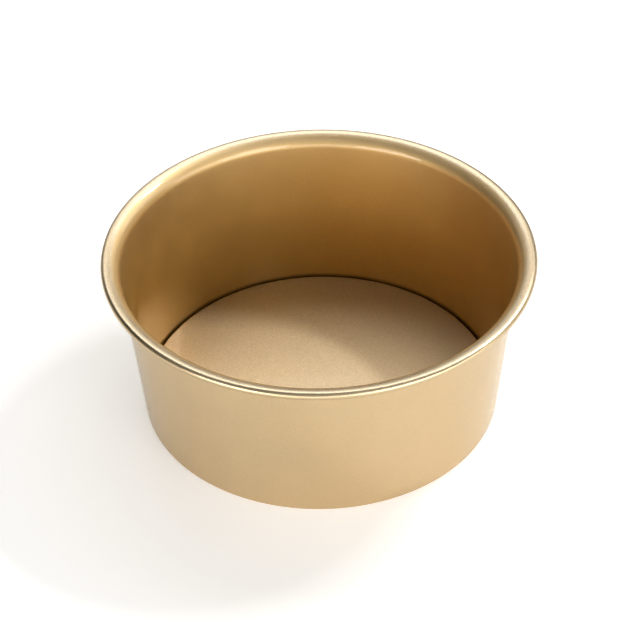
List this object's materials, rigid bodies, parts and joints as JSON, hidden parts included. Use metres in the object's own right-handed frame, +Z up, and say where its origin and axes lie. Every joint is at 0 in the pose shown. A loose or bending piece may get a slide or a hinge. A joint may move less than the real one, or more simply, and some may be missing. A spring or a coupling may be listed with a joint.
{
  "type": "loose-base cake tin",
  "caption": "Round metal cake tin with a gently flared wall, a curled rim, an in-turned foot with a folded edge and a loose flat base that pushes up to free the cake.",
  "frame": {"origin": "on the tin's axis, in the plane that the foot stands on", "axes": "+Z up along the axis of the tin, from the foot to the rim; X and Y are free because the tin is round"},
  "size_m": [0.1742, 0.1742, 0.072],
  "materials": {
    "body_coating": "champagne-gold metallic non-stick coating on steel sheet, satin",
    "base_coating": "champagne-gold metallic non-stick coating on steel sheet, satin, fine flake"
  },
  "bodies": {
    "tin": {"tin_body": "body_coating"},
    "base": {"loose_base": "base_coating"}
  },
  "joints": [
    {"name": "base_lift", "type": "slide", "parent": "tin", "child": "base", "axis": [0, 0, 1], "range_m": [0, 0.09]}
  ]
}
